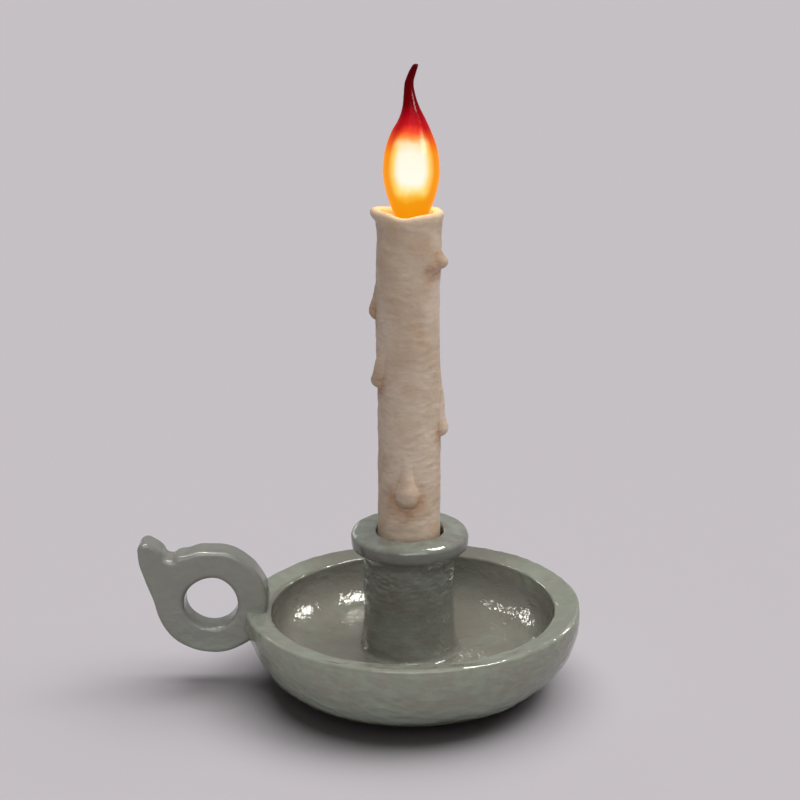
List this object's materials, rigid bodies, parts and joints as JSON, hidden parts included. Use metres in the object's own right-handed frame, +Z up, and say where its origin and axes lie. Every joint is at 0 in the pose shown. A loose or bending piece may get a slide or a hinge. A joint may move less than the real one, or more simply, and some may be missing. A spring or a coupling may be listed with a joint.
{
  "type": "candle lamp",
  "caption": "Cordless table lamp shaped like a hand-held candlestick, with a dish, finger ring, wax-look candle and bent-tip flame bulb",
  "frame": {"origin": "centre of the base pad's underside, on the dish's axis", "axes": "+Z up along the candle; the finger ring points along -X; the charging socket and push button face +Y"},
  "size_m": [0.2855, 0.2164, 0.4009],
  "materials": {
    "gloss_paint": "cast resin, brushed grey-green gloss paint",
    "wax_resin": "cast resin, matt wax look with brown wash in the hollows",
    "plated_steel": "zinc plated",
    "black_plastic": "moulded, satin",
    "contact_brass": "drawn sheet",
    "black_glass": "pressed black glass",
    "clear_glass": "clear",
    "lit_filament": "lit phosphor sticks",
    "flame_glass": "tinted, orange below and red at the tip",
    "battery_film": "shrink film",
    "board_laminate": "glass laminate with green mask",
    "cover_sheet": "powder coated steel sheet",
    "pad_rubber": "foamed rubber",
    "wire_insulation": "soft insulation"
  },
  "bodies": {
    "root": {"tray": "gloss_paint", "finger_ring": "gloss_paint", "candle_cup": "gloss_paint", "candle_sleeve": "wax_resin", "stem_tube": "plated_steel", "stem_nuts": "plated_steel", "stem_washers": "plated_steel", "candle_centring_disc": "black_plastic", "lampholder_coupler": "plated_steel", "lampholder_body": "black_plastic", "lampholder_thread_shell": "contact_brass", "lampholder_centre_contact": "contact_brass", "battery_pack": "battery_film", "battery_strap": "plated_steel", "strap_screws": "plated_steel", "circuit_board": "board_laminate", "board_screws": "plated_steel", "usb_socket": "plated_steel", "switch_body": "black_plastic", "base_cover": "cover_sheet", "cover_screws": "plated_steel", "base_pad": "pad_rubber", "lead_wires": "wire_insulation"},
    "bulb_foot": {"bulb_insulator": "black_glass", "bulb_tip_contact": "plated_steel"},
    "bulb": {"bulb_glass": "flame_glass", "bulb_stem": "clear_glass", "led_filaments": "lit_filament", "bulb_screw_shell": "plated_steel"},
    "button": {"button_cap": "gloss_paint", "switch_plunger": "black_plastic"}
  },
  "joints": [
    {"name": "bulb_lift", "type": "slide", "parent": "root", "child": "bulb_foot", "axis": [0, 0, 1], "range_m": [0, 0.0127]},
    {"name": "bulb_turn", "type": "hinge", "parent": "bulb_foot", "child": "bulb", "pos_m": [0, 0, 0.3], "axis": [0, 0, 1], "range_deg": [0, 1620]},
    {"name": "button_press", "type": "slide", "parent": "root", "child": "button", "axis": [0, -1, 0], "range_m": [0, 0.0008], "stiffness_N_per_m": 300}
  ],
  "couplings": [
    {"joint": "bulb_lift", "follows": "bulb_turn", "m_per_rad": 0.00044914}
  ]
}
